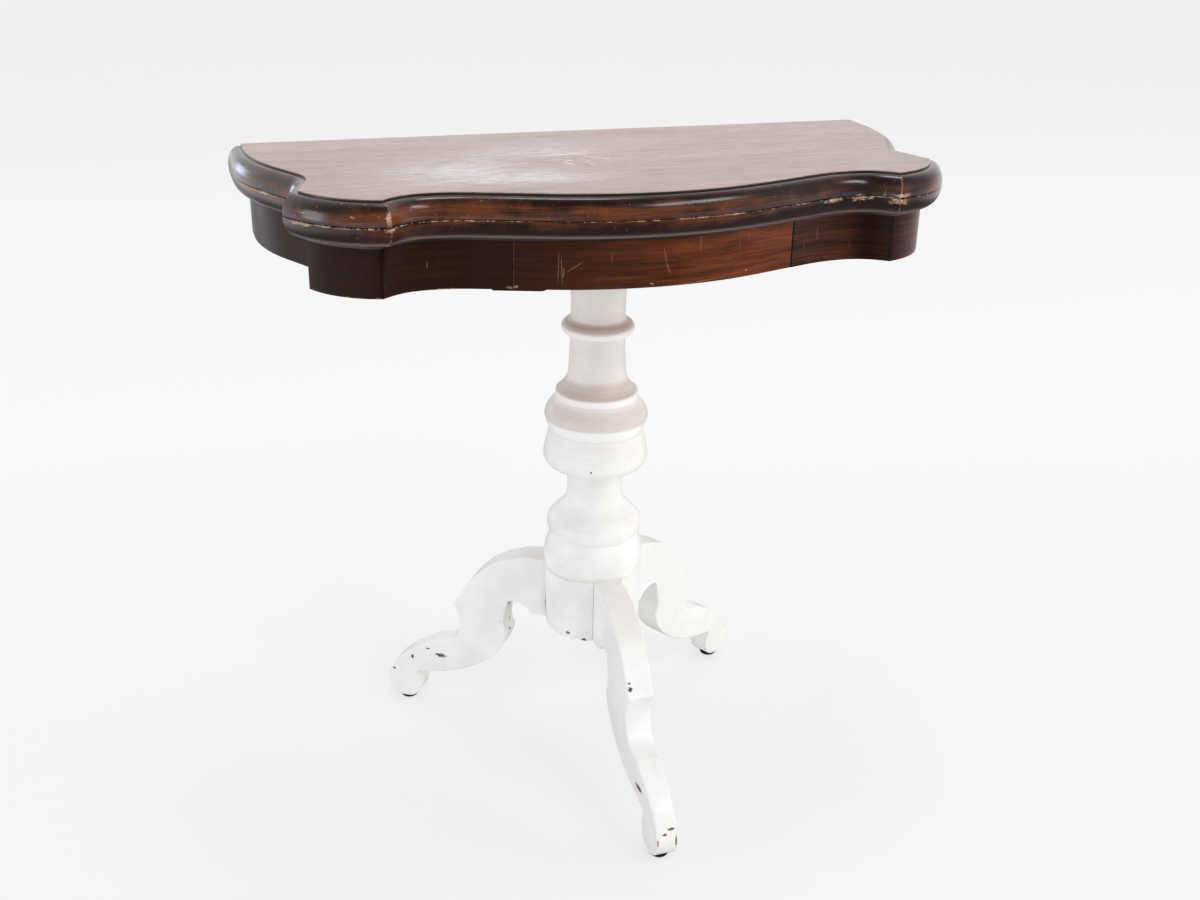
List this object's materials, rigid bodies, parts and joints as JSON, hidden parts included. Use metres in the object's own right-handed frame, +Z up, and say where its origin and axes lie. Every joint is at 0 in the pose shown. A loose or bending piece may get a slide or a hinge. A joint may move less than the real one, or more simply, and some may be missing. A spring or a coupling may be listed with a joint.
{
  "type": "folding card table",
  "caption": "Card table on a turned column with scroll legs; the leaf unfolds, the top turns on the frame and a drawer slides out of the curved frieze.",
  "frame": {"origin": "on the floor, in the middle of the space that the folded table fills", "axes": "+X along the table's length to the right end, +Y to the straight back edge, +Z up"},
  "size_m": [0.783, 0.454, 0.76],
  "materials": {
    "veneered_board": "polished mahogany veneer, greyed by wear",
    "dark_moulding": "dark polish worn through along the edges",
    "frieze_veneer": "glossy dark red-brown mahogany veneer",
    "drawer_front_veneer": "glossy red-brown mahogany veneer",
    "frame_wood": "unpolished softwood, darkened by age",
    "drawer_wood": "unpolished oak",
    "white_paint": "brushed white paint, chipped and dirty in the hollows",
    "hinge_brass": "dull brass",
    "iron": "dark oiled iron",
    "glide_black": "black enamel"
  },
  "bodies": {
    "stand": {"back_rail": "frame_wood", "column": "white_paint", "corner_blocks": "frame_wood", "cross_bearer": "frame_wood", "drawer_guide_left": "frame_wood", "drawer_guide_right": "frame_wood", "front_rail_left": "frieze_veneer", "front_rail_right": "frieze_veneer", "glides": "glide_black", "leg_front": "white_paint", "leg_left": "white_paint", "leg_right": "white_paint", "lobe_board_left": "frieze_veneer", "lobe_board_right": "frieze_veneer", "pivot_rail": "frame_wood", "runner_left": "frame_wood", "runner_right": "frame_wood", "side_board_left": "frieze_veneer", "side_board_right": "frieze_veneer", "spider_plate": "iron", "spider_screws": "iron"},
    "drawer": {"drawer_back": "drawer_wood", "drawer_bottom": "drawer_wood", "drawer_front": "drawer_front_veneer", "drawer_side_left": "drawer_wood", "drawer_side_right": "drawer_wood"},
    "lower_leaf": {"lower_board": "veneered_board", "lower_end_moulding_left": "dark_moulding", "lower_end_moulding_right": "dark_moulding", "lower_front_moulding": "dark_moulding", "lower_hinge_pins": "hinge_brass", "lower_hinge_plate_left": "hinge_brass", "lower_hinge_plate_right": "hinge_brass", "lower_hinge_screws": "hinge_brass", "lower_lobe_moulding_left": "dark_moulding", "lower_lobe_moulding_right": "dark_moulding", "pivot_bolt": "iron", "pivot_nut": "iron", "pivot_plate": "iron", "pivot_screws": "iron", "pivot_washer": "iron"},
    "hinge_links": {"hinge_link_left": "hinge_brass", "hinge_link_right": "hinge_brass"},
    "upper_leaf": {"upper_board": "veneered_board", "upper_end_moulding_left": "dark_moulding", "upper_end_moulding_right": "dark_moulding", "upper_front_moulding": "dark_moulding", "upper_hinge_pins": "hinge_brass", "upper_hinge_plate_left": "hinge_brass", "upper_hinge_plate_right": "hinge_brass", "upper_hinge_screws": "hinge_brass", "upper_lobe_moulding_left": "dark_moulding", "upper_lobe_moulding_right": "dark_moulding"}
  },
  "joints": [
    {"name": "drawer_slide", "type": "slide", "parent": "stand", "child": "drawer", "axis": [0, -1, 0], "range_m": [0, 0.09]},
    {"name": "top_swivel", "type": "hinge", "parent": "stand", "child": "lower_leaf", "pos_m": [0.066, 0.12101, 0.712], "axis": [0, 0, 1], "range_deg": [0, 90]},
    {"name": "link_fold", "type": "hinge", "parent": "lower_leaf", "child": "hinge_links", "pos_m": [0, 0.18201, 0.73085], "axis": [-1, 0, 0], "range_deg": [0, 90]},
    {"name": "leaf_fold", "type": "hinge", "parent": "hinge_links", "child": "upper_leaf", "pos_m": [0, 0.18201, 0.74115], "axis": [-1, 0, 0], "range_deg": [0, 90]}
  ],
  "couplings": [
    {"joint": "link_fold", "follows": "leaf_fold", "ratio": 1}
  ]
}
